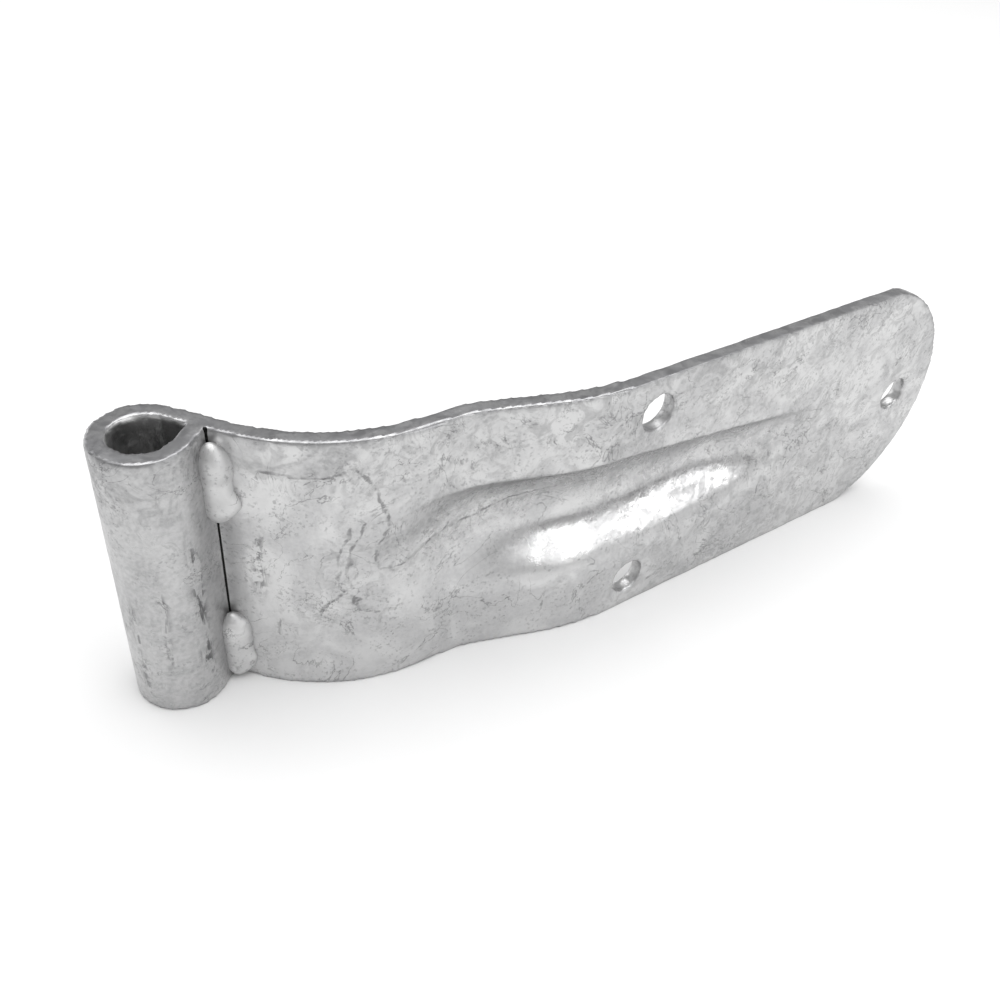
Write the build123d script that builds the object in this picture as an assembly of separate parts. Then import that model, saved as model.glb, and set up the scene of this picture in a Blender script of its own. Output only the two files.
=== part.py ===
from build123d import *
import math
import os

# Strap hinge for a gate or door: one strap of hot-dip galvanised steel plate, its end rolled
# round into an eye for the pin, and the rolled lip closed against the strap by two fillet welds.
#
# Frame: +Z along the eye's bore, +X along the flat that is bolted on, from the eye to the tip,
# +Y to the side that the rib stands out on. The welds are on the -Y side.
# Origin: on the bore's axis, at the strap's mid height.
# Lengths are in millimetres and angles in degrees.

# ---- plate ----
strap_width = 76.0
plate_thickness = 4.5
developed_length = 242.6        # mid-line length from the eye's tangent point to the tip

# ---- eye ----
bore_radius = 7.05
roll_angle = 274.0              # how far the plate wraps the pin
eye_exit_angle = 54.2           # the strap leaves the eye at this angle to the mounting flat
seam_gap = 0.25                 # rolled lip's end to the strap's face

# ---- bends of the strap, in order from the eye ----
exit_straight = 14.0
sweep_radius = 48.0
neck_straight = 4.2
joggle_angle = 19.2
joggle_in_radius = 41.5
joggle_straight = 14.2
joggle_out_radius = 68.0

# ---- tip and bolt holes ----
tip_radius = 39.4
hole_radius = 5.25
mid_hole_distance = 121.0       # along the mid-line from the eye's tangent point
mid_hole_spacing = 55.2
tip_hole_distance = 226.2

# ---- pressed rib ----
rib_start = 39.5
rib_full_start = 64.0           # from here the rib has its full width
rib_taper_start = 114.0
rib_end = 196.0
rib_half_width = 18.6
rib_end_half_width = 9.2
rib_height = 9.0
rib_rise = 62.0                 # length over which the crest climbs from the plate
rib_fall = 58.0                 # length over which it sinks back
rib_wall_inset = 1.7            # the hollow is narrower than the rib by this, each side
rib_loft_margin = 1.0           # the loft stops this far short of the ends, where the rib vanishes
rib_stations = 26

# ---- fillet welds ----
weld_leg_strap = 6.6
weld_leg_lip = 5.0
weld_crown = 0.9                # bulge of the bead beyond a flat fillet
weld_root = 1.0                 # how far the bead's blank reaches into the plate before it is cut
# The bead's size along its length: (part of the length, part of the full size).
weld_profile = ((0.0, 0.45), (0.07, 0.75), (0.2, 0.97), (0.5, 1.0), (0.8, 0.97), (0.93, 0.75), (1.0, 0.45))
upper_weld_z = (14.8, 34.4)
lower_weld_z = (-36.0, -16.6)

half_width = strap_width / 2
half_thickness = plate_thickness / 2
eye_radius = bore_radius + plate_thickness


def strap_runs():
    """The mid-line's runs from the eye's tangent point on: (length, turn in degrees)."""
    def bend(radius, turn):
        return radius * math.radians(abs(turn)), turn

    runs = [
        (exit_straight, 0.0),
        bend(sweep_radius, eye_exit_angle),
        (neck_straight, 0.0),
        bend(joggle_in_radius, -joggle_angle),
        (joggle_straight, 0.0),
        bend(joggle_out_radius, joggle_angle),
    ]
    used = sum(length for length, turn in runs)
    return runs + [(developed_length - used, 0.0)]


def strap_point(distance, offset=0.0):
    """Point (x, y) and heading at a distance along the mid-line, offset towards +Y."""
    heading = math.radians(-eye_exit_angle)
    mid_radius = bore_radius + half_thickness
    x = -mid_radius * math.sin(heading)
    y = mid_radius * math.cos(heading)
    for length, turn in strap_runs():
        step = min(distance, length)
        turned = math.radians(turn) * step / length
        chord = step if turned == 0 else 2 * step / turned * math.sin(turned / 2)
        x += chord * math.cos(heading + turned / 2)
        y += chord * math.sin(heading + turned / 2)
        heading += turned
        distance -= step
        if distance <= 0:
            break
    return x - offset * math.sin(heading), y + offset * math.cos(heading), heading


def strap_side(offset):
    """Edges of one face of the strap in plan, from the eye's tangent point to its end."""
    edges = []
    start = 0.0
    for length, turn in strap_runs():
        first = strap_point(start, offset)[:2]
        middle = strap_point(start + length / 2, offset)[:2]
        last = strap_point(start + length, offset)[:2]
        edges.append(Line(first, last) if turn == 0 else ThreePointArc(first, middle, last))
        start += length
    return edges


def polar(radius, angle):
    return radius * math.cos(math.radians(angle)), radius * math.sin(math.radians(angle))


def lip_end(radius, gap):
    """Where the lip's face of this radius, carried on straight, meets the strap's inner face."""
    normal_angle = 90 - eye_exit_angle
    start = polar(radius, normal_angle + roll_angle)
    heading = normal_angle + roll_angle + 90
    reach = bore_radius - gap - radius * math.cos(math.radians(roll_angle))
    length = reach / math.cos(math.radians(heading - normal_angle))
    direction = polar(1.0, heading)
    return start[0] + length * direction[0], start[1] + length * direction[1]


def eye_side(radius, gap):
    """Edges of one face of the rolled eye, from the strap's tangent point to the lip's end."""
    start_angle = 90 - eye_exit_angle
    first = polar(radius, start_angle)
    middle = polar(radius, start_angle + roll_angle / 2)
    last = polar(radius, start_angle + roll_angle)
    return [ThreePointArc(first, middle, last), Line(last, lip_end(radius, gap))]


def standing(edges, low, high):
    """Solid between two heights over the area that the edges enclose."""
    face = make_face(Wire(edges))
    return extrude(Pos(0, 0, low) * face, high - low, dir=(0, 0, 1))


def bent_plate(gap):
    """Full-width plate, rolled and bent but not yet trimmed, pierced or ribbed."""
    outer = eye_side(eye_radius, gap) + strap_side(half_thickness)
    inner = eye_side(bore_radius, gap) + strap_side(-half_thickness)
    lip_face = Line(lip_end(eye_radius, gap), lip_end(bore_radius, gap))
    end_face = Line(
        strap_point(developed_length, half_thickness)[:2],
        strap_point(developed_length, -half_thickness)[:2],
    )
    return standing(outer + inner + [lip_face, end_face], -half_width, half_width)


def along_y(x, z, radius):
    """Cylinder through the whole strap, along Y."""
    return Pos(x, 0, z) * Rot(90, 0, 0) * Cylinder(radius, 4 * strap_width)


def tip_blank():
    """Everything inside the strap's outline as seen along Y."""
    centre = strap_point(developed_length - tip_radius)[0]
    corner = centre + math.sqrt(tip_radius**2 - half_width**2)
    start = -2 * eye_radius
    body = Pos((start + corner) / 2, 0, 0) * Box(corner - start, 4 * strap_width, 2 * strap_width)
    return body + along_y(centre, 0, tip_radius)


def smooth_step(value):
    value = min(max(value, 0.0), 1.0)
    return value * value * (3 - 2 * value)


def rib_size(distance):
    """Half width and height of the rib, at the plate's face, at a distance along the mid-line."""
    nose = min(max((rib_full_start - distance) / (rib_full_start - rib_start), 0.0), 1.0)
    taper = max((distance - rib_taper_start) / (rib_end - rib_taper_start), 0.0)
    half = rib_half_width * math.sqrt(1 - nose**2)
    half -= (rib_half_width - rib_end_half_width) * taper
    rise = smooth_step((distance - rib_start) / rib_rise)
    fall = smooth_step((rib_end - distance) / rib_fall)
    return half, rib_height * rise * fall


def rib_section(distance, inset, face, depth):
    """Arched section across the strap, standing on the given face and reaching depth under it."""
    half, height = rib_size(distance)
    half -= inset
    x, y, heading = strap_point(distance)
    across = Plane(
        origin=(x, y, 0), x_dir=(0, 0, -1), z_dir=(math.cos(heading), math.sin(heading), 0)
    )
    low_left = across.from_local_coords(Vector(-half, face - depth, 0))
    low_right = across.from_local_coords(Vector(half, face - depth, 0))
    left = across.from_local_coords(Vector(-half, face, 0))
    crown = across.from_local_coords(Vector(0, face + height, 0))
    right = across.from_local_coords(Vector(half, face, 0))
    arch = ThreePointArc(left, crown, right)
    sides = [Line(right, low_right), Line(low_right, low_left), Line(low_left, left)]
    return make_face(Wire([arch] + sides))


def rib_blank(inset, face, depth):
    """The rib's form, or its hollow's, lofted through sections along the strap."""
    first = rib_start + rib_loft_margin + inset
    last = rib_end - rib_loft_margin - inset
    step = (last - first) / (rib_stations - 1)
    stations = [first + step * i for i in range(rib_stations)]
    sections = [rib_section(station, inset, face, depth) for station in stations]
    return loft(sections, ruled=True)


def make_strap():
    """The one-piece strap: rolled eye, bends, pressed rib, rounded tip and bolt holes."""
    strap = bent_plate(seam_gap) + rib_blank(0.0, half_thickness, half_thickness)
    strap -= rib_blank(rib_wall_inset, -half_thickness, plate_thickness)
    strap = strap & tip_blank()
    mid_x = strap_point(mid_hole_distance)[0]
    for z in (-mid_hole_spacing / 2, mid_hole_spacing / 2):
        strap -= along_y(mid_x, z, hole_radius)
    return strap - along_y(strap_point(tip_hole_distance)[0], 0, hole_radius)


def weld_section(z, scale):
    """Section of a fillet bead in the corner between the rolled lip and the strap."""
    normal = Vector(*polar(1.0, 90 - eye_exit_angle))
    along = Vector(*polar(1.0, -eye_exit_angle))
    up_lip = -Vector(*polar(1.0, 90 - eye_exit_angle + roll_angle + 90))
    corner = Vector(*lip_end(eye_radius, 0.0))
    root = corner + normal * weld_root - along * weld_root
    toe_strap = corner + along * weld_leg_strap * scale
    toe_lip = corner + up_lip * weld_leg_lip * scale
    outward = (along - normal).normalized()
    crown = (toe_strap + toe_lip) * 0.5 + outward * weld_crown * scale
    bead = ThreePointArc(toe_strap, crown, toe_lip)
    inside = [
        Line(toe_lip, toe_lip - along * weld_root),
        Line(toe_lip - along * weld_root, root),
        Line(root, toe_strap + normal * weld_root),
        Line(toe_strap + normal * weld_root, toe_strap),
    ]
    return Pos(0, 0, z) * make_face(Wire([bead] + inside))


def seam_filler():
    """The thin space between the lip's end and the strap, which the bead doesn't run into."""
    corners = [
        lip_end(eye_radius, seam_gap),
        lip_end(eye_radius, 0.0),
        lip_end(bore_radius, 0.0),
        lip_end(bore_radius, seam_gap),
    ]
    edges = [Line(corners[i - 1], corners[i]) for i in range(len(corners))]
    return standing(edges, -half_width, half_width)


def make_weld(z_range):
    """One fillet bead: full in the middle, drawn in towards both ends, cut to the plate's faces."""
    low, high = z_range
    sections = [weld_section(low + (high - low) * part, scale) for part, scale in weld_profile]
    return loft(sections) - bent_plate(seam_gap) - seam_filler()


os.makedirs("parts", exist_ok=True)
export_step(make_strap(), "parts/strap.step")
export_step(make_weld(upper_weld_z), "parts/weld_bead_upper.step")
export_step(make_weld(lower_weld_z), "parts/weld_bead_lower.step")
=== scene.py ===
"""Builds the looks of a hot-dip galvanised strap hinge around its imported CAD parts."""

import math

import bmesh
import bpy
import numpy as np
from mathutils import Matrix, Vector, noise


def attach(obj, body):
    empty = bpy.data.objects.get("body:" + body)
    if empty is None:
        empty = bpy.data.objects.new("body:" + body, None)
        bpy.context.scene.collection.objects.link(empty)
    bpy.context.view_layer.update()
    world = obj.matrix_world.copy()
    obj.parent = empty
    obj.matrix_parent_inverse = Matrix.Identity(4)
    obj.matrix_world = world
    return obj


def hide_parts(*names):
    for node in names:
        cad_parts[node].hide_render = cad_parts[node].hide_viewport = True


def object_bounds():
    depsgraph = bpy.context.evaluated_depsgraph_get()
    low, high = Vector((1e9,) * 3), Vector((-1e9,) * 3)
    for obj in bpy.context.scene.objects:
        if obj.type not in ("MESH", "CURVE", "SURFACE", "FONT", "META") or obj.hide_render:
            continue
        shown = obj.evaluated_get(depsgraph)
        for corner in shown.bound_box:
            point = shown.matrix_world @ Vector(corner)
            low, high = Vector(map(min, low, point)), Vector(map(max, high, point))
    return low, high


bl_info = {
    "name": "Galvanised Strap Hinge",
    "version": (1, 0, 0),
    "blender": (4, 5, 0),
    "location": "3D View > Sidebar > Strap Hinge",
    "description": "Builds a galvanised gate hinge: plate, weld beads and a studio round them",
    "category": "Add Mesh",
}

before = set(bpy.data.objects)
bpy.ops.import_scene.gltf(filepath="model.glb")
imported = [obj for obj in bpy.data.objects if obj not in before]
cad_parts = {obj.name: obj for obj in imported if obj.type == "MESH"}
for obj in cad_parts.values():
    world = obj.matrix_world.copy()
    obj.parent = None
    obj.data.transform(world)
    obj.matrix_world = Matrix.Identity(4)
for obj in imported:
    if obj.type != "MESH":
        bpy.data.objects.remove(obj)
cad_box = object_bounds()

MM = 0.001

# ---- the strap's plan, in millimetres and degrees: the same values as in the part's source ----
PLATE = 4.5
HALF_WIDTH = 38.0
DEVELOPED = 242.6
BORE_RADIUS = 7.05
EYE_RADIUS = BORE_RADIUS + PLATE
ROLL_ANGLE = 274.0
EYE_EXIT_ANGLE = 54.2
JOGGLE_ANGLE = 19.2
TIP_RADIUS = 39.4
WELD_LEG_STRAP = 6.6
WELD_LEG_LIP = 5.0
UPPER_WELD = (14.8, 34.4)
LOWER_WELD = (-36.0, -16.6)
RIB_START, RIB_FULL_START, RIB_TAPER_START, RIB_END = 39.5, 64.0, 114.0, 196.0
RIB_HALF_WIDTH, RIB_END_HALF_WIDTH = 18.6, 9.2
RIB_HEIGHT, RIB_RISE, RIB_FALL, RIB_WALL_INSET = 9.0, 62.0, 58.0, 1.7
# The hollow's section is never narrower to each side than this, nor shallower than this.
LEAST_HALF_WIDTH, LEAST_DEPTH = 0.5, 1e-4
# The hollow's lower edge is eased over this width. At the nose its upper side sinks this much
# sooner, fully from this height up.
LOWER_EASE, NOSE_CUT, NOSE_CUT_HEIGHT = 4.5, 7.0, 14.0
# Each run of the mid-line from the eye on: its length, and how far it turns.
RUNS = (
    (14.0, 0.0),
    (48.0 * math.radians(EYE_EXIT_ANGLE), EYE_EXIT_ANGLE),
    (4.2, 0.0),
    (41.5 * math.radians(JOGGLE_ANGLE), -JOGGLE_ANGLE),
    (14.2, 0.0),
    (68.0 * math.radians(JOGGLE_ANGLE), JOGGLE_ANGLE),
    (DEVELOPED, 0.0),
)


# ---------------------------------------------------------------- shape helpers


def strap_point(distance):
    """Point (x, y) and heading on the plate's mid-line, at a distance from the eye."""
    heading = math.radians(-EYE_EXIT_ANGLE)
    radius = BORE_RADIUS + PLATE / 2
    x, y = -radius * math.sin(heading), radius * math.cos(heading)
    for length, turn in RUNS:
        step = min(distance, length)
        turned = math.radians(turn) * step / length
        chord = step if turned == 0 else 2 * step / turned * math.sin(turned / 2)
        x += chord * math.cos(heading + turned / 2)
        y += chord * math.sin(heading + turned / 2)
        heading += turned
        distance -= step
        if distance <= 0:
            break
    return x, y, heading


# The mid-line's samples: their distances from the eye, and the point and heading at each.
SAMPLE_STEP = 0.5
SAMPLES = np.arange(0.0, DEVELOPED + 1.0, SAMPLE_STEP)
MID_LINE = np.array([strap_point(distance) for distance in SAMPLES])


def polar(radius, angle):
    """The point at this radius from the eye's axis, and this angle in degrees."""
    return radius * math.cos(math.radians(angle)), radius * math.sin(math.radians(angle))


# Directions in plan at the eye: away from it along the strap, and square out of its ribbed side.
ALONG = np.array(polar(1.0, -EYE_EXIT_ANGLE))
NORMAL = np.array(polar(1.0, 90 - EYE_EXIT_ANGLE))
UP_LIP = -np.array(polar(1.0, 180 - EYE_EXIT_ANGLE + ROLL_ANGLE))


def lip_corner(radius):
    """Where the lip's face of this radius, carried on straight, meets the strap's inner face."""
    start = np.array(polar(radius, 90 - EYE_EXIT_ANGLE + ROLL_ANGLE))
    direction = -UP_LIP
    return start + direction * (BORE_RADIUS - start @ NORMAL) / (direction @ NORMAL)


SEAM = lip_corner(EYE_RADIUS)
# The eye's points lie at least this far inside the strap's inner face where the lip meets it, and
# at most this far past the eye's outside.
SURFACE_SLACK, EYE_MARGIN = 0.05, 1.0


def place_on_strap(points):
    """For points in mm: distance along the plate, offset to the ribbed side, and eye or strap."""
    nearest = np.empty(len(points), int)
    batch = 4000  # points at once, so that the table of distances stays small
    for first in range(0, len(points), batch):
        part = points[first : first + batch, None, :2] - MID_LINE[None, :, :2]
        nearest[first : first + batch] = (part**2).sum(2).argmin(1)
    heading = MID_LINE[nearest, 2]
    gap = points[:, :2] - MID_LINE[nearest, :2]
    along = SAMPLES[nearest] + gap[:, 0] * np.cos(heading) + gap[:, 1] * np.sin(heading)
    offset = -gap[:, 0] * np.sin(heading) + gap[:, 1] * np.cos(heading)
    radius = np.hypot(points[:, 0], points[:, 1])
    past_seam = points[:, :2] @ NORMAL < BORE_RADIUS - SURFACE_SLACK
    in_eye = (radius < EYE_RADIUS + EYE_MARGIN) & ((points[:, :2] @ ALONG < 0) | past_seam)
    angle = np.degrees(np.arctan2(points[:, 1], points[:, 0])) - (90 - EYE_EXIT_ANGLE)
    rolled = np.radians(np.mod(angle, 360.0)) * (BORE_RADIUS + PLATE / 2)
    along = np.where(in_eye, -rolled, along)
    offset = np.where(in_eye, radius - BORE_RADIUS - PLATE / 2, offset)
    return along, offset, in_eye


def smooth_step(value, low, high):
    """Rises smoothly from 0 at low to 1 at high."""
    t = np.clip((value - low) / (high - low), 0.0, 1.0)
    return t * t * (3.0 - 2.0 * t)


def hollow_arc(along, height, rise):
    """Half the hollow's width, and its depth at its middle and at this height.

    It sinks from the plate over the length given as rise.
    """
    nose = np.clip((RIB_FULL_START - along) / (RIB_FULL_START - RIB_START), 0.0, 1.0)
    taper = np.clip((along - RIB_TAPER_START) / (RIB_END - RIB_TAPER_START), 0.0, 1.0)
    half = RIB_HALF_WIDTH * np.sqrt(1 - nose**2) - (RIB_HALF_WIDTH - RIB_END_HALF_WIDTH) * taper
    half = np.maximum(half - RIB_WALL_INSET, LEAST_HALF_WIDTH)
    depth = RIB_HEIGHT * smooth_step(along, RIB_START, RIB_START + rise)
    depth = np.maximum(depth * (1 - smooth_step(along, RIB_END - RIB_FALL, RIB_END)), LEAST_DEPTH)
    radius = (half**2 + depth**2) / (2 * depth)
    curve = np.sqrt(np.maximum(radius**2 - height**2, 0)) - radius + depth
    return half, depth, np.where(np.abs(height) < half, curve, 0.0)


def hollow_depths(along, height):
    """The hollow behind the rib: half its width, its depth as a plain arc, and as it was pressed.

    The pressing eases the hollow's lower edge, and cuts its upper edge deeper at the nose.
    """
    half, depth, plain = hollow_arc(along, height, RIB_RISE)
    rise = RIB_RISE - NOSE_CUT * smooth_step(height, 0.0, NOSE_CUT_HEIGHT)
    deeper = hollow_arc(along, height, rise)[2]
    across = np.clip(-height / (half + LOWER_EASE), 0, 1)
    eased = depth * (0.5 + 0.5 * np.cos(math.pi * across))
    return half, plain, np.where(height < 0, eased, deeper)


def noise_at(points, size, seed):
    """Smooth noise from -1 to 1 at each point in mm, with lumps of about this size in mm."""
    shift = Vector((seed * 17.3, seed * 5.1, seed * 9.7))
    return np.array([noise.noise(Vector(p) / size + shift) for p in points])


def distance_to_path(points, path):
    """Distance of each 2-D point from an open path of straight steps."""
    best = np.full(len(points), np.inf)
    for start, end in zip(path, path[1:]):
        start, end = np.array(start), np.array(end)
        step = end - start
        part = np.clip(((points - start) @ step) / (step @ step), 0, 1)
        gap = points - (start + part[:, None] * step)
        best = np.minimum(best, np.hypot(gap[:, 0], gap[:, 1]))
    return best


def add_piece(name, mesh, slot, *nodes):
    """A smooth-shaded object in metres that rides on the one body and stands for CAD nodes."""
    piece = bpy.data.objects.new(name, mesh)
    bpy.context.scene.collection.objects.link(piece)
    mesh.shade_smooth()
    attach(piece, "root")
    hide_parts(*nodes)
    return piece


def set_values(mesh, name, values):
    """Stores one number for each point, which the material reads by name."""
    attribute = mesh.attributes.new(name, "FLOAT", "POINT")
    attribute.data.foreach_set("value", np.asarray(values, np.float32))


# ---------------------------------------------------------------- the plate


def sealed_plate_mesh():
    """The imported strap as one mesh, its thin seam filled so that the plate can be resurfaced."""
    shape = bmesh.new()
    shape.from_mesh(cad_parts["strap"].data)
    bmesh.ops.remove_doubles(shape, verts=shape.verts, dist=MM / 1000)
    overlap = 0.4  # how far the filling reaches into the lip and the strap
    outer, inner = SEAM, lip_corner(BORE_RADIUS)
    corners = [
        outer + UP_LIP * overlap,
        outer + NORMAL * overlap,
        inner + NORMAL * overlap,
        inner + UP_LIP * overlap,
    ]
    rings = []
    for height in (-HALF_WIDTH, HALF_WIDTH):
        rings.append([shape.verts.new((x * MM, y * MM, height * MM)) for x, y in corners])
    low, high = rings
    shape.faces.new(reversed(low))
    shape.faces.new(high)
    for i in range(4):
        shape.faces.new((low[i - 1], low[i], high[i], high[i - 1]))
    bmesh.ops.recalc_face_normals(shape, faces=shape.faces)
    mesh = bpy.data.meshes.new("galvanised_strap")
    shape.to_mesh(mesh)
    shape.free()
    return mesh


def resurface(mesh, spacing):
    """The same shape as an even mesh of quads, its corners a little rounded."""
    holder = bpy.data.objects.new("resurfacing", mesh)
    bpy.context.scene.collection.objects.link(holder)
    remesh = holder.modifiers.new("Even mesh", "REMESH")
    remesh.mode = "VOXEL"
    remesh.voxel_size = spacing
    relax = holder.modifiers.new("Rounded corners", "SMOOTH")
    relax.factor = 0.5
    relax.iterations = 2
    evaluated = holder.evaluated_get(bpy.context.evaluated_depsgraph_get())
    result = bpy.data.meshes.new_from_object(evaluated)
    bpy.data.objects.remove(holder)
    return result


# A face is on the weld side where its normal's part towards the ribbed side is below this.
WELD_FACING = -0.2
# A point this near the hollow's plain face, or its pressed one, belongs to the hollow.
PLAIN_REACH, PRESSED_REACH = 0.9, 1.2
# A point deeper than this under both faces of the plate is on its edge or in a hole.
FACE_SKIN = 0.35
# Where there is no run near, its distance in mm is given as this.
NO_RUN = 9.0
# The plate's edges are worn over this width.
RIM_WIDTH = 1.6
# Raised runs of zinc on the plate's faces: side, width and height in mm, and its points, each the
# distance along the plate and the height above its middle.
ZINC_RUNS = (
    ("weld", 1.1, 0.16, ((41.0, 33.0), (45.0, 28.0), (48.0, 20.0), (50.0, 13.0))),
    ("weld", 1.1, 0.18, ((41.0, 14.0), (38.5, 6.0), (38.0, -1.0), (39.5, -6.0), (43.0, -9.0))),
    ("weld", 0.9, 0.12, ((44.0, 15.0), (41.5, 8.0), (40.0, 0.0), (41.5, -5.0))),
    ("weld", 0.9, 0.12, ((50.0, 13.0), (47.5, 8.0), (46.5, 2.0), (48.5, -1.0), (53.0, -1.5))),
    ("weld", 0.8, 0.08, ((39.5, -6.0), (35.0, -9.0), (32.0, -12.5))),
    ("weld", 0.8, 0.08, ((41.0, -8.0), (43.0, -12.0), (48.0, -14.5))),
    ("weld", 0.8, 0.08, ((53.0, -1.5), (62.0, 2.0), (72.0, 3.0), (84.0, 6.5), (97.0, 7.0))),
    ("weld", 0.8, 0.06, ((22.0, 29.5), (30.0, 28.5), (37.0, 28.5), (41.0, 30.0))),
    ("rib", 1.4, 0.20, ((128.0, 33.0), (135.0, 27.5), (150.0, 29.0), (168.0, 27.0), (190.0, 28.5))),
    ("rib", 1.2, 0.18, ((46.0, 13.0), (60.0, 20.0), (74.0, 21.5), (86.0, 20.0))),
    ("rib", 1.2, 0.15, ((12.0, 22.0), (24.0, 20.0), (36.0, 14.0), (44.0, 9.0))),
)
# Upright bands of pits and scuffs: side, distance along the plate (or back round the eye), width,
# lowest and highest point, and how dark it is.
SCUFFS = (
    ("eye", -40.9, 1.3, -29.0, 12.0, 1.0),
    ("eye", -33.8, 0.8, -22.0, 2.0, 0.75),
    ("eye", -27.8, 0.8, -34.0, -4.0, 0.7),
    ("eye", -20.5, 0.7, -8.0, 16.0, 0.6),
    ("weld", 20.0, 1.6, -8.0, 12.0, 0.8),
    ("weld", 24.0, 0.9, -22.0, -14.0, 0.6),
)
# A scuff fades over this height to each side of its ends.
SCUFF_FADE = 4.0
# Dull stains, and painted dark reflections: side, distance along and height of the middle, half
# length, half height, lean, and how dark it is. The long thin weld-side rows at 88 mm along and
# 15 mm high, at 150 mm and 11.3 mm high, and at 125 mm and -4.3 mm high are painted dark
# reflections along the hollow's upper edge and its valley; the other rows are stains.
STAINS_AND_DARK_REFLECTIONS = (
    ("weld", 58.0, 8.5, 11.0, 3.0, 0.25, 0.9),
    ("weld", 63.0, -20.0, 1.3, 0.8, 0.0, 1.6),
    ("weld", 125.0, -4.3, 40.0, 1.7, 0.02, 0.75),
    ("weld", 88.0, -8.0, 9.0, 2.0, 0.17, 0.6),
    ("weld", 88.0, 15.0, 26.0, 1.8, 0.0, 0.8),
    ("weld", 150.0, 11.3, 36.0, 1.6, -0.115, 0.8),
    ("weld", 30.0, 30.5, 15.0, 2.2, 0.0, 0.6),
    ("weld", 112.0, 21.0, 6.0, 4.0, 0.3, 0.5),
    ("weld", 168.0, -4.0, 9.0, 3.0, 0.2, 0.6),
    ("rib", 57.0, 14.5, 13.0, 5.5, -0.1, 0.8),
    ("rib", 26.0, 24.0, 8.0, 7.0, 0.2, 0.5),
    ("rib", 210.0, 12.0, 5.0, 4.0, 0.3, 0.6),
)
# The groove where the seam is filled: its depth, and how far it reaches to each side.
GROOVE_DEPTH, GROOVE_REACH = 0.45, 0.8
# Zinc beads that hang from the lower edge: distance along the plate, width and drop in mm.
ZINC_DRIPS = ((11.5, 1.5, 1.2), (63.0, 1.8, 0.35), (131.0, 2.2, 0.4), (206.0, 1.6, 0.3))


def read_points(mesh):
    """The mesh's points in mm and its normals, as arrays of rows."""
    read = []
    for key in ("co", "normal"):
        values = np.empty(len(mesh.vertices) * 3)
        mesh.vertices.foreach_get(key, values)
        read.append(values.reshape(-1, 3))
    return read[0] / MM, read[1]


def across_plate(along):
    """The direction in plan that is square to the plate, towards its ribbed side."""
    heading = np.interp(along, SAMPLES, MID_LINE[:, 2])
    return np.column_stack([-np.sin(heading), np.cos(heading)])


def press_hollow(mesh):
    """Gives the hollow behind the rib its pressed shape, with a soft lower edge."""
    points, normals = read_points(mesh)
    along, offset, in_eye = place_on_strap(points)
    half, plain, pressed = hollow_depths(along, points[:, 2])
    square = across_plate(along)
    facing = (normals[:, :2] * square).sum(1)
    near_face = np.abs(offset + PLATE / 2 - plain) < PLAIN_REACH
    in_hollow = (facing < WELD_FACING) & ~in_eye & near_face
    points[:, :2] += square * ((pressed - plain) * in_hollow)[:, None]
    mesh.vertices.foreach_set("co", (points * MM).ravel())
    # The plain arc's lower edge leaves a crease, which is smoothed out of a band along it.
    crease_band, rounds = 2.6, 10
    in_length = (along > RIB_START) & (along < RIB_END)
    old_edge = in_hollow & (np.abs(points[:, 2] + half) < crease_band) & in_length
    shape = bmesh.new()
    shape.from_mesh(mesh)
    shape.verts.ensure_lookup_table()
    chosen = [shape.verts[i] for i in np.flatnonzero(old_edge)]
    for _ in range(rounds):
        bmesh.ops.smooth_vert(
            shape, verts=chosen, factor=0.5, use_axis_x=True, use_axis_y=True, use_axis_z=True
        )
    shape.to_mesh(mesh)
    shape.free()


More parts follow.
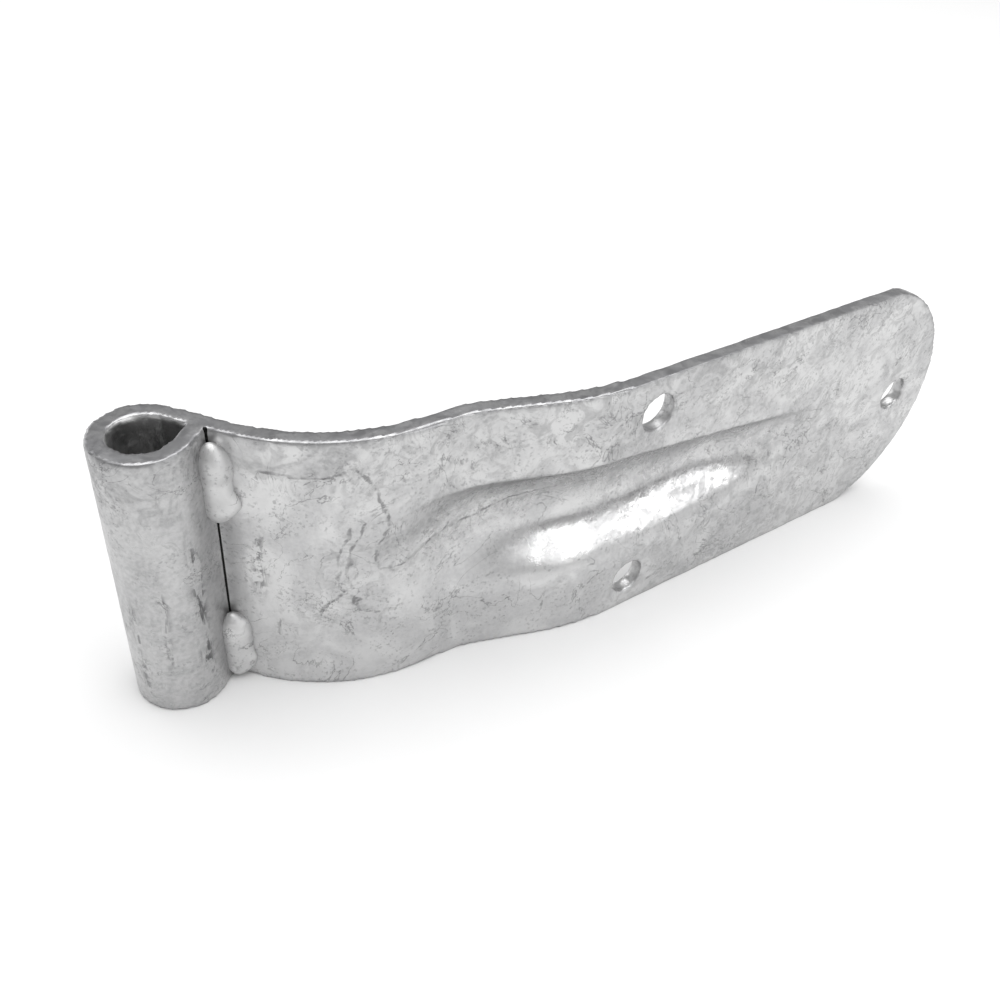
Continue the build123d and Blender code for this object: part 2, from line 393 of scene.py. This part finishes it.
def shape_zinc(mesh, lump_height):
    """Moves the plate's points to show its coating and edges, and stores what the colours need."""
    points, normals = read_points(mesh)
    count = len(points)
    along, offset, in_eye = place_on_strap(points)
    height = points[:, 2]
    pressed = hollow_depths(along, height)[2]
    facing = (normals[:, :2] * across_plate(along)).sum(1)
    near_face = np.abs(offset + PLATE / 2 - pressed) < PRESSED_REACH
    in_hollow = (facing < WELD_FACING) & ~in_eye & near_face

    # The coat's waves, in three sizes.
    broad = noise_at(points, 14.0, 1)
    small = noise_at(points, 4.5, 2)
    fine = noise_at(points, 1.8, 3)
    moved = lump_height * (0.8 * broad + 0.4 * small + 0.18 * fine)

    # The sheared edges are a little dented and nicked.
    rim = np.clip((np.abs(height) - (HALF_WIDTH - RIM_WIDTH)) / RIM_WIDTH, 0, 1)
    tip_centre = DEVELOPED - TIP_RADIUS
    from_tip = np.hypot(np.maximum(along - tip_centre, 0), height)
    tip_rim = np.clip((from_tip - (TIP_RADIUS - RIM_WIDTH)) / RIM_WIDTH, 0, 1)
    rim = np.maximum(rim, tip_rim * (along > tip_centre))
    dents = noise_at(points * (1, 1, 0.6), 7.0, 4)
    nicks = noise_at(points, 2.6, 5)
    moved -= rim * (0.22 * np.clip(dents, 0, 1) + 0.10 * np.clip(nicks, 0, 1))

    weld_side = (offset - (pressed * in_hollow) < -PLATE / 4) & ~in_eye
    run_gap = np.full(count, NO_RUN)
    place = np.column_stack([along, height])
    for side, width, tall, path in ZINC_RUNS:
        wobble = np.column_stack([1.3 * small + 0.5 * fine, 0.9 * broad])
        gap = distance_to_path(place + wobble, path)
        gap = np.where(in_eye | (weld_side != (side == "weld")), NO_RUN, gap)
        moved += tall * np.exp(-((gap / width) ** 2))
        run_gap = np.minimum(run_gap, gap)

    # The coat froze wrinkled near its runs, along the top, at the far end, on the hollow's upper
    # flank and at the top of the eye.
    wrinkled = np.exp(-((run_gap / 6.0) ** 2)) * 0.9
    top_band = smooth_step(height + 2.0 * broad, 19.0, 27.0) * smooth_step(along, 12.0, 30.0)
    far_end = 0.75 * smooth_step(along + 6.0 * broad, 96.0, 128.0)
    upper_flank = 0.7 * smooth_step(height, 0.0, 5.0) * smooth_step(along, 44.0, 60.0)
    wrinkled = np.maximum(wrinkled, np.maximum(top_band, np.maximum(far_end, upper_flank)))
    wrinkled = np.where(weld_side, wrinkled, np.maximum(wrinkled * 0.8, 0.45 + 0.3 * broad))
    wrinkled = np.where(in_eye, 0.3 + 0.7 * smooth_step(height + 3.0 * broad, 18.0, 30.0), wrinkled)
    ridges = 1 - np.abs(noise_at(points * (1, 1, 1.3), 3.4, 6)) * 2.2
    moved += 0.055 * wrinkled * ridges

    on_side = {"eye": in_eye, "weld": weld_side, "rib": ~weld_side & ~in_eye}
    scuff = np.zeros(count)
    for side, where, width, low, high, strength in SCUFFS:
        band = np.exp(-(((along - where + 0.7 * small) / width) ** 2)) * strength
        above = smooth_step(height, low - SCUFF_FADE, low + SCUFF_FADE)
        below = smooth_step(-height, -high - SCUFF_FADE, SCUFF_FADE - high)
        scuff = np.maximum(scuff, band * above * below * on_side[side])
    moved -= 0.12 * scuff * np.clip(fine + 0.3, 0, 1)
    # Stains, with painted dark reflections along the hollow's upper edge and valley.
    stain_and_dark_reflection = np.zeros(count)
    for side, where, middle, length, tall, lean, strength in STAINS_AND_DARK_REFLECTIONS:
        rise = height - middle - lean * (along - where)
        far = ((along - where + small) / length) ** 2 + ((rise + 0.8 * small) / tall) ** 2
        stain_and_dark_reflection = np.maximum(stain_and_dark_reflection, strength * np.exp(-(far**2)) * on_side[side])

    seam_gap = np.hypot(points[:, 0] - SEAM[0], points[:, 1] - SEAM[1])
    crevice = GROOVE_DEPTH * np.clip(1 - seam_gap / GROOVE_REACH, 0, 1)
    inward = (NORMAL - ALONG) / math.sqrt(2)
    points[:, :2] += inward * crevice[:, None]
    points += normals * moved[:, None]
    for where, width, drop in ZINC_DRIPS:
        near = np.exp(-((2 * (along - where) / width) ** 2)) * (height < 0.7 - HALF_WIDTH)
        points[:, 2] -= drop * near * np.exp(-((offset - 0.6) ** 2)) * ~in_eye
    points[:, 2] = np.clip(points[:, 2], -HALF_WIDTH, HALF_WIDTH)

    mesh.vertices.foreach_set("co", (points * MM).ravel())
    mesh.update()
    on_wall = (np.abs(offset) < PLATE / 2 - FACE_SKIN) & (rim > 0.2)
    # The bore gets painted fill light: a colour lighter than the zinc elsewhere, to lift its shade.
    in_bore = in_eye & (offset < FACE_SKIN - PLATE / 2) & (rim < 0.9)
    set_values(mesh, "rim", np.maximum(rim * 0.6, on_wall))
    set_values(mesh, "bore_fill_light", in_bore)
    set_values(mesh, "run_gap", run_gap * MM)
    set_values(mesh, "wrinkled", wrinkled)
    set_values(mesh, "hollow", in_hollow * smooth_step(pressed, 1.0, 4.0))
    set_values(mesh, "scuff", scuff)
    set_values(mesh, "stain_and_dark_reflection", stain_and_dark_reflection)
    set_values(mesh, "eye", in_eye * smooth_step(-along, 0.0, 10.0))


# ---------------------------------------------------------------- the weld beads


# The lobes that each bead swells or sinks by: height, place from the strap (0) to the lip (1), its
# two widths in the same units, and how far.
UPPER_LOBES = (
    (18.4, 0.0, 2.8, 0.5, 0.30),
    (30.5, 0.6, 3.8, 0.7, 0.16),
    (25.0, 0.3, 1.8, 0.7, -0.07),
)
LOWER_LOBES = (
    (-31.5, 0.0, 3.4, 0.4, 0.18),
    (-20.5, 0.5, 3.2, 0.6, 0.08),
    (-33.0, 0.7, 0.9, 0.10, -0.12),
)
# The bead's section stands this part of its legs high, its ends bulge this far, its ripples repeat
# at this distance, and its edges sink this far into the plate.
WELD_FULLNESS, WELD_CROWN, RIPPLE_PITCH, WELD_SINK = 0.84, 1.3, 1.3, 0.45


def weld_mesh(name, z_range, lobes, ripple_height, seed):
    """A fillet bead: a blobby surface between the strap and the lip, closed through its root."""
    around, steps = 36, 110
    low, high = z_range
    root = SEAM + (NORMAL - ALONG) * 0.5
    shape = bmesh.new()
    rows = []
    for j in range(steps + 1):
        part = j / steps
        z = low + (high - low) * part
        full = 0.40 + 0.60 * math.sqrt(max(1 - abs(2 * part - 1) ** 5, 0.0))
        row = []
        for i in range(around + 1):
            turn = i / around
            angle = turn * math.pi / 2
            direction = ALONG * math.cos(angle) + UP_LIP * math.sin(angle)
            leg = WELD_LEG_STRAP * (1 - turn) + WELD_LEG_LIP * turn
            swell = 1 + 0.06 * noise.noise(Vector((turn * 1.5, z / 7.0, seed)))
            swell += 0.07 * noise.noise(Vector((turn * 2.0, z / 2.8, seed + 5))) * (1 - turn) ** 2
            for centre, side, tall, wide, extra in lobes:
                far = ((z - centre) / tall) ** 2 + ((turn - side) / wide) ** 2
                swell += extra * math.exp(-far)
            radius = leg * WELD_FULLNESS * full * swell
            across = math.sin(math.pi * turn)
            ripple = math.sin(2 * math.pi * (z + 1.2 * across) / RIPPLE_PITCH)
            radius += ripple_height * ripple * across
            point = SEAM + direction * radius
            if i in (0, around):
                point = point + (NORMAL if i == 0 else -ALONG) * WELD_SINK
            crown = WELD_CROWN * across**0.7 * (2 * part - 1) ** 5
            row.append(shape.verts.new((point[0] * MM, point[1] * MM, (z + crown) * MM)))
        row.append(shape.verts.new((root[0] * MM, root[1] * MM, z * MM)))
        rows.append(row)
    size = len(rows[0])
    for lower, upper in zip(rows, rows[1:]):
        for i in range(size):
            shape.faces.new((lower[i - 1], lower[i], upper[i], upper[i - 1]))
    shape.faces.new(rows[0])
    shape.faces.new(reversed(rows[-1]))
    bmesh.ops.recalc_face_normals(shape, faces=shape.faces)
    mesh = bpy.data.meshes.new(name)
    shape.to_mesh(mesh)
    shape.free()
    return mesh


# ---------------------------------------------------------------- materials


def linear(hex_colour):
    """Turns an sRGB hex value to the linear colour that a shader takes."""
    channels = [int(hex_colour[i : i + 2], 16) / 255 for i in (1, 3, 5)]
    bent = [c / 12.92 if c <= 0.04045 else ((c + 0.055) / 1.055) ** 2.4 for c in channels]
    return (*bent, 1.0)


def per_mm(size):
    """The texture scale at which a pattern repeats about every size millimetres."""
    return 1 / (size * MM)


def add_node(tree, kind, settings=(), inputs=()):
    """Adds a node, with its settings, and its inputs as values or as sockets to link from."""
    node = tree.nodes.new(kind)
    for key, value in dict(settings).items():
        setattr(node, key, value)
    for key, value in dict(inputs).items():
        if isinstance(value, bpy.types.NodeSocket):
            tree.links.new(value, node.inputs[key])
        else:
            node.inputs[key].default_value = value
    return node


# The coat's patterns, each one noise: the size of its patches in mm, detail, distortion and
# roughness. The real coat's grain and specks are a few tenths of a millimetre wide, which is too
# fine to show, so they are drawn at about a millimetre.
PATTERNS = {
    "clouds": (17.0, 6, 1.0, 0.62),
    "mottles": (5.5, 6, 1.6, 0.62),
    "specks": (1.1, 3, 0.0, 0.55),
    "pitted": (13.0, 3, 0.0, 0.55),
    "rings": (15.0, 5, 2.2, 0.55),
    "ringed": (9.0, 3, 0.0, 0.55),
    "hairlines": (30.0, 6, 2.0, 0.55),
    "cracked": (16.0, 2, 0.0, 0.55),
    "streaks": (1.5, 3, 0.4, 0.55),
    "scratches": (2.6, 3, 0.0, 0.55),
    "run_wobble": (1.6, 3, 0.0, 0.55),
    "run_breaks": (5.0, 3, 0.0, 0.55),
    "lumps": (3.0, 5, 0.8, 0.55),
    "dark_grain": (0.9, 2, 0.0, 0.55),
    "grainy": (7.0, 3, 0.0, 0.55),
    "rim_breaks": (4.0, 5, 0.8, 0.55),
}
# How much the streaks' pattern is drawn out along the plate's height.
STREAK_SQUEEZE = 0.16
# The values stored on the meshes, which the material reads by name.
STORED = ("wrinkled", "eye", "scuff", "run_gap", "stain_and_dark_reflection", "rim", "hollow", "bore_fill_light")
# How marks, roughness and bumps come from the patterns and stored values, in order. Each row has
# its result, its work, and the names or numbers that it works on. A cut goes smoothly between two
# levels of its source, and the last two numbers are what it gives below and above them.
STEPS = (
    ("clouds", "CUT", "clouds", 0.38, 0.62, 0.0, 1.0),
    ("mottles", "CUT", "mottles", 0.46, 0.60, 0.0, 1.0),
    ("mottles", "MULTIPLY", "mottles", "wrinkled"),
    ("grain", "CUT", "specks", 0.30, 0.70, 0.0, 1.0),
    ("pits", "CUT", "specks", 0.62, 0.70, 0.0, 1.0),
    ("pitted", "CUT", "pitted", 0.50, 0.68, 0.0, 1.0),
    ("pits", "MULTIPLY", "pits", "pitted"),
    ("rings", "MULTIPLY", "rings", 7.0),
    ("rings", "PINGPONG", "rings", 0.5),
    ("rings", "CUT", "rings", 0.02, 0.07, 1.0, 0.0),
    ("ringed", "CUT", "ringed", 0.46, 0.60, 0.0, 1.0),
    ("rings", "MULTIPLY", "rings", "ringed"),
    ("rings", "MULTIPLY", "rings", "wrinkled"),
    ("hairlines", "SUBTRACT", "hairlines", 0.5),
    ("hairlines", "ABSOLUTE", "hairlines"),
    ("hairlines", "CUT", "hairlines", 0.002, 0.007, 1.0, 0.0),
    ("cracked", "CUT", "cracked", 0.48, 0.58, 0.0, 1.0),
    ("hairlines", "MULTIPLY", "hairlines", "cracked"),
    ("streaks", "CUT", "streaks", 0.44, 0.56, 0.0, 1.0),
    ("scratches", "CUT", "scratches", 0.42, 0.54, 0.0, 1.0),
    ("scratches", "MULTIPLY", "streaks", "scratches"),
    ("scuffs", "MULTIPLY", "scuff", "scratches"),
    ("run_wobble", "SUBTRACT", "run_wobble", 0.5),
    ("run_wobble", "MULTIPLY", "run_wobble", 1.2 * MM),
    ("run_gap", "ADD", "run_gap", "run_wobble"),
    ("run_line", "CUT", "run_gap", 0.12 * MM, 0.55 * MM, 1.0, 0.0),
    ("run_breaks", "CUT", "run_breaks", 0.38, 0.56, 0.40, 1.0),
    ("run_line", "MULTIPLY", "run_line", "run_breaks"),
    ("stain_and_reflection_breaks", "CUT", "lumps", 0.28, 0.56, 0.35, 1.0),
    ("stain_and_dark_reflection", "MULTIPLY", "stain_and_dark_reflection", "stain_and_reflection_breaks"),
    ("dark_grain", "CUT", "dark_grain", 0.54, 0.68, 0.0, 1.0),
    ("grainy", "CUT", "grainy", 0.40, 0.60, 0.0, 1.0),
    ("dark_grain", "MULTIPLY", "dark_grain", "grainy"),
    ("rim_breaks", "CUT", "rim_breaks", 0.34, 0.62, 0.45, 1.0),
    ("rim", "MULTIPLY", "rim", "rim_breaks"),
    # Painted shade: a near-black line along the filled seam stands in for the shadow in its gap.
    ("painted_seam_shade", "CUT", "seam_gap", 0.42 * MM, 0.56 * MM, 1.0, 0.0),
    ("roughness", "CUT", "clouds", 0.0, 1.0, "bright_roughness", "dull_roughness"),
    ("mottle_roughness", "MULTIPLY", "mottles", 0.10),
    ("roughness", "ADD", "roughness", "mottle_roughness"),
    ("hollow_gloss", "MULTIPLY", "hollow", 0.10),
    ("roughness", "SUBTRACT", "roughness", "hollow_gloss"),
    ("wrinkles", "ADD", "wrinkled", 0.25),
    ("wrinkles", "MULTIPLY", "lumps", "wrinkles"),
    ("speck_bumps", "MULTIPLY", "specks", 0.30),
    ("bumps", "ADD", "wrinkles", "speck_bumps"),
    ("grooves", "ADD", "run_line", "scuffs"),
    ("grooves", "MULTIPLY", "grooves", 0.8),
    ("bumps", "SUBTRACT", "bumps", "grooves"),
)


def galvanised_steel(name, finish, smooth_zinc, pattern_shift, patchiness, bright_roughness):
    """Hot-dip galvanised steel: a dipped zinc coat that froze in bright and dull patches.

    It gives the eye a soft, cloudy grey metal with drain lines, small pits and darker sheared
    edges, and glossy spots only where the coat is thick and smooth. It also paints light and shade
    into the colour: a near-black painted shade along the seam, painted dark reflections along the
    hollow, painted shade on the top edges and painted fill light in the bore. The shift, in metres,
    keeps two pieces from sharing one pattern, and patchiness is how strongly the dull patches show.
    """
    material = bpy.data.materials.new(name)
    material.use_nodes = True
    tree = material.node_tree
    tree.nodes.clear()
    object_place = add_node(tree, "ShaderNodeTexCoord").outputs["Object"]
    shift = {"Vector": object_place, "Location": (pattern_shift, 0, 0)}
    place = add_node(tree, "ShaderNodeMapping", inputs=shift).outputs[0]
    squeeze = {"Vector": place, "Scale": (1, 1, STREAK_SQUEEZE)}
    upright = add_node(tree, "ShaderNodeMapping", inputs=squeeze).outputs[0]

    values = {
        "bright_roughness": bright_roughness,
        "dull_roughness": bright_roughness + 0.08,
    }
    for pattern, (size, detail, distortion, coarseness) in PATTERNS.items():
        inputs = {
            "Vector": upright if pattern == "streaks" else place,
            "Scale": per_mm(size),
            "Detail": detail,
            "Roughness": coarseness,
            "Distortion": distortion,
        }
        values[pattern] = add_node(tree, "ShaderNodeTexNoise", inputs=inputs).outputs["Fac"]
    for stored in STORED:
        settings = {"attribute_name": stored}
        values[stored] = add_node(tree, "ShaderNodeAttribute", settings).outputs["Fac"]
    gap = object_place
    seam_steps = (("SUBTRACT", (SEAM[0] * MM, SEAM[1] * MM, 0)), ("MULTIPLY", (1, 1, 0)))
    for operation, second in seam_steps:
        settings = {"operation": operation}
        gap = add_node(tree, "ShaderNodeVectorMath", settings, {0: gap, 1: second}).outputs[0]
    length = add_node(tree, "ShaderNodeVectorMath", {"operation": "LENGTH"}, {0: gap})
    values["seam_gap"] = length.outputs["Value"]

    # The colours laid one over another: where, how strongly, and which.
    layers = (
        ("clouds", patchiness, finish.dull_zinc),
        ("eye", 0.42, finish.dark_zinc),
        ("mottles", 0.46, finish.dark_zinc),
        # Stains, and painted dark reflections along the hollow.
        ("stain_and_dark_reflection", 0.70, finish.dark_zinc),
        ("grain", 0.40, smooth_zinc),
        ("dark_grain", 0.55, finish.dark_zinc),
        ("rings", 0.55, finish.drain_line),
        ("hairlines", 0.50, finish.drain_line),
        ("pits", 0.55, finish.drain_line),
        ("scuffs", 0.95, finish.drain_line),
        ("run_line", 0.62, finish.drain_line),
        # Partly the edges' own coat, partly painted shade on the upward-facing top edge.
        ("rim", 1.0, finish.sheared_edge_and_top_shade),
        # Painted shade along the filled seam.
        ("painted_seam_shade", 1.0, finish.crevice),
        # Painted light: the bore is coloured lighter than the rest to lift its shade.
        ("bore_fill_light", 1.0, finish.bore_fill_light),
    )
    covers = [(f"{mask}_cover", "MULTIPLY", mask, amount) for mask, amount, _ in layers]
    for result, work, *operands in (*STEPS, *covers):
        if work == "CUT":
            kind, settings = "ShaderNodeMapRange", {"interpolation_type": "SMOOTHSTEP"}
        else:
            kind, settings = "ShaderNodeMath", {"operation": work}
        inputs = {i: values.get(operand, operand) for i, operand in enumerate(operands)}
        values[result] = add_node(tree, kind, settings, inputs).outputs[0]

    # The first layer goes over smooth zinc, and each next one over what is there. The Mix node's
    # factor, two colours and result go by number, because their names repeat.
    colour = smooth_zinc
    for mask, _, layer_colour in layers:
        inputs = {0: values[f"{mask}_cover"], 6: colour, 7: layer_colour}
        colour = add_node(tree, "ShaderNodeMix", {"data_type": "RGBA"}, inputs).outputs[2]
    relief = {"Height": values["bumps"], "Strength": 0.6, "Distance": 0.12 * MM}
    bump = add_node(tree, "ShaderNodeBump", inputs=relief)
    surface = {
        "Base Color": colour,
        "Metallic": 1.0,
        "Roughness": values["roughness"],
        "Normal": bump.outputs[0],
    }
    shader = add_node(tree, "ShaderNodeBsdfPrincipled", inputs=surface)
    add_node(tree, "ShaderNodeOutputMaterial", inputs={"Surface": shader.outputs[0]})
    return material


def white_paper(name, colour):
    """Matt white paper board: its fibres scatter light evenly, so it shows only soft shadows."""
    material = bpy.data.materials.new(name)
    material.use_nodes = True
    tree = material.node_tree
    shader = tree.nodes["Principled BSDF"]
    fibres = add_node(tree, "ShaderNodeTexNoise", inputs={"Scale": per_mm(2.0), "Detail": 3})
    bump = add_node(
        tree,
        "ShaderNodeBump",
        inputs={"Height": fibres.outputs["Fac"], "Strength": 0.1, "Distance": 0.05 * MM},
    )
    tree.links.new(bump.outputs[0], shader.inputs["Normal"])
    shader.inputs["Base Color"].default_value = colour
    shader.inputs["Roughness"].default_value = 0.9
    return material


# ---------------------------------------------------------------- settings


def colour_setting(name, description, hex_colour):
    """A colour that the user can change, with its default given as sRGB hex."""
    return bpy.props.FloatVectorProperty(
        name=name,
        description=description,
        subtype="COLOR",
        size=4,
        min=0.0,
        max=1.0,
        default=linear(hex_colour),
    )


class HingeShape(bpy.types.PropertyGroup):
    """Sizes of the coating and of the mesh that shows it."""

    mesh_spacing: bpy.props.FloatProperty(
        name="Mesh spacing",
        description="Distance between the plate's mesh points",
        default=0.76 * MM,
        unit="LENGTH",
        precision=5,
    )
    lump_height: bpy.props.FloatProperty(
        name="Zinc lumps",
        description="Height of the coating's waves",
        default=0.07 * MM,
        unit="LENGTH",
        precision=5,
    )


class HingeColours(bpy.types.PropertyGroup):
    """Colours of the zinc coating."""

    bright_zinc: colour_setting("Bright zinc", "Where the coat froze smooth", "#D0D0D0")
    dull_zinc: colour_setting("Dull zinc", "Where the coat froze grey", "#B3B3B4")
    weld_zinc: colour_setting("Weld zinc", "Thick smooth coat on the weld beads", "#D4D4D4")
    dark_zinc: colour_setting("Dark zinc", "Mottles where the coat wrinkled", "#8E8E8F")
    drain_line: colour_setting("Drain lines", "Lines and pits in the coat", "#5A5A5B")
    # Partly the edges' own coat, partly painted shade: darkened so that the upward-facing top edge
    # shows the shade it gets from the dim room above.
    sheared_edge_and_top_shade: colour_setting("Sheared edge", "Thin coat on the plate's edges", "#98989A")
    # Painted shade: this near-black stands in for the shadow inside the seam's gap, which the mesh
    # fills.
    crevice: colour_setting("Seam", "The dark line where the lip meets the strap", "#1A1A1A")
    # Painted fill light: lighter than the bright zinc, to lift the shade inside the bore.
    bore_fill_light: colour_setting("Bore", "Dull coat inside the eye", "#DCDCDC")


class HingeStudio(bpy.types.PropertyGroup):
    """The light round the hinge and the board under it."""

    key_power: bpy.props.FloatProperty(
        name="Key light", description="Power of the soft front light", default=3.6, unit="POWER"
    )
    top_power: bpy.props.FloatProperty(
        name="Top light", description="Power of the overhead light", default=31.0, unit="POWER"
    )
    rear_power: bpy.props.FloatProperty(
        name="Rear light", description="Power of the light behind", default=3.0, unit="POWER"
    )
    ambient: bpy.props.FloatProperty(
        name="Ambient", description="Strength of the light from all round", default=0.46
    )
    board: colour_setting("Board", "The white board under the hinge", "#F4F4F4")


# ---------------------------------------------------------------- operators


class BuildPlate(bpy.types.Operator):
    """Builds the bent, rolled and pressed plate with its zinc coat"""

    bl_idname = "strap_hinge.build_plate"
    bl_label = "Galvanised Plate"

    def execute(self, context):
        shape, colours = context.scene.hinge_shape, context.scene.hinge_colours
        mesh = resurface(sealed_plate_mesh(), shape.mesh_spacing)
        press_hollow(mesh)
        shape_zinc(mesh, shape.lump_height / MM)
        mesh.materials.clear()
        material = galvanised_steel(
            "hot_dip_galvanised_steel",
            colours,
            colours.bright_zinc,
            pattern_shift=0.0,
            patchiness=0.75,
            bright_roughness=0.30,
        )
        mesh.materials.append(material)
        add_piece("galvanised_strap", mesh, "galvanised_plate", "strap")
        return {"FINISHED"}


class BuildWelds(bpy.types.Operator):
    """Builds the two fillet weld beads between the rolled lip and the strap"""

    bl_idname = "strap_hinge.build_welds"
    bl_label = "Weld Beads"

    def execute(self, context):
        colours = context.scene.hinge_colours
        material = galvanised_steel(
            "galvanised_weld_metal",
            colours,
            colours.weld_zinc,
            pattern_shift=0.4,
            patchiness=0.25,
            bright_roughness=0.50,
        )
        beads = (
            ("upper_weld", "weld_bead_upper", UPPER_WELD, UPPER_LOBES, 0.0),
            ("lower_weld", "weld_bead_lower", LOWER_WELD, LOWER_LOBES, 0.035),
        )
        for seed, (name, node, z_range, lobes, ripple) in enumerate(beads):
            mesh = weld_mesh(name, z_range, lobes, ripple, seed * 9.0)
            set_values(mesh, "run_gap", np.full(len(mesh.vertices), NO_RUN * MM))
            mesh.materials.append(material)
            add_piece(name, mesh, "galvanised_weld", node)
        return {"FINISHED"}


# The square board's side, in metres.
BOARD_SIZE = 8.0
# Each soft light's place from the hinge's middle, and its width and height, in metres.
SOFTBOXES = (
    ("front_softbox", (0.66, -1.22, 0.43), (1.5, 0.17)),
    ("overhead_softbox", (0.12, -0.05, 1.6), (2.0, 2.0)),
    ("rear_softbox", (-0.60, 1.25, 0.42), (1.2, 0.5)),
)
ROOM_COLOUR = "#F5F5F5"
# The camera's lens and sensor width in millimetres, its place in metres, and the ways that it
# looks and that lie to its right.
CAMERA_LENS, CAMERA_SENSOR = 36.97, 36.0
CAMERA_PLACE = (-0.04737, -0.18400, 0.16683)
CAMERA_FORWARD = (0.48402, 0.61411, -0.62337)
CAMERA_RIGHT = (0.81543, -0.57500, 0.06669)


class BuildStudio(bpy.types.Operator):
    """Sets the white board, the soft lights and the camera"""

    bl_idname = "strap_hinge.build_studio"
    bl_label = "Studio"

    def execute(self, context):
        studio = context.scene.hinge_studio
        low, high = cad_box
        bpy.ops.mesh.primitive_plane_add(size=BOARD_SIZE, location=(0, 0, low.z))
        board = context.object
        board.name = "white_board"
        board.data.materials.append(white_paper("matt_white_board", studio.board))
        centre = (low + high) / 2

        powers = (studio.key_power, studio.top_power, studio.rear_power)
        for (name, place, size), power in zip(SOFTBOXES, powers):
            data = bpy.data.lights.new(name, "AREA")
            data.shape = "RECTANGLE"
            data.size, data.size_y = size
            data.energy = power
            light = bpy.data.objects.new(name, data)
            light.location = centre + Vector(place)
            light.rotation_euler = (centre - light.location).to_track_quat("-Z", "Y").to_euler()
            context.scene.collection.objects.link(light)

        world = bpy.data.worlds.new("soft_room")
        world.use_nodes = True
        background = world.node_tree.nodes["Background"]
        background.inputs["Color"].default_value = linear(ROOM_COLOUR)
        background.inputs["Strength"].default_value = studio.ambient
        context.scene.world = world
        context.scene.view_settings.view_transform = "Standard"

        camera = bpy.data.objects.new("camera", bpy.data.cameras.new("camera"))
        camera.data.lens = CAMERA_LENS
        camera.data.sensor_width = CAMERA_SENSOR
        camera.data.clip_start = 10 * MM
        forward = Vector(CAMERA_FORWARD).normalized()
        right = Vector(CAMERA_RIGHT).normalized()
        up = right.cross(forward)
        axes = Matrix((right, up, -forward)).transposed().to_4x4()
        camera.matrix_world = Matrix.Translation(CAMERA_PLACE) @ axes
        context.scene.collection.objects.link(camera)
        context.scene.camera = camera
        return {"FINISHED"}


class HingePanel(bpy.types.Panel):
    """Lists the hinge's settings and what builds it"""

    bl_label = "Strap Hinge"
    bl_idname = "VIEW3D_PT_strap_hinge"
    bl_space_type = "VIEW_3D"
    bl_region_type = "UI"
    bl_category = "Strap Hinge"

    def draw(self, context):
        scene = context.scene
        for settings in (scene.hinge_shape, scene.hinge_colours, scene.hinge_studio):
            for key in settings.__annotations__:
                self.layout.prop(settings, key)
        for operator in (BuildPlate, BuildWelds, BuildStudio):
            self.layout.operator(operator.bl_idname)


CLASSES = (
    HingeShape,
    HingeColours,
    HingeStudio,
    BuildPlate,
    BuildWelds,
    BuildStudio,
    HingePanel,
)


def register():
    for cls in CLASSES:
        bpy.utils.register_class(cls)
    bpy.types.Scene.hinge_shape = bpy.props.PointerProperty(type=HingeShape)
    bpy.types.Scene.hinge_colours = bpy.props.PointerProperty(type=HingeColours)
    bpy.types.Scene.hinge_studio = bpy.props.PointerProperty(type=HingeStudio)


def unregister():
    del bpy.types.Scene.hinge_shape
    del bpy.types.Scene.hinge_colours
    del bpy.types.Scene.hinge_studio
    for cls in reversed(CLASSES):
        bpy.utils.unregister_class(cls)


def main():
    register()
    bpy.ops.strap_hinge.build_plate()
    bpy.ops.strap_hinge.build_welds()
    bpy.ops.strap_hinge.build_studio()


if __name__ == "__main__":
    main()
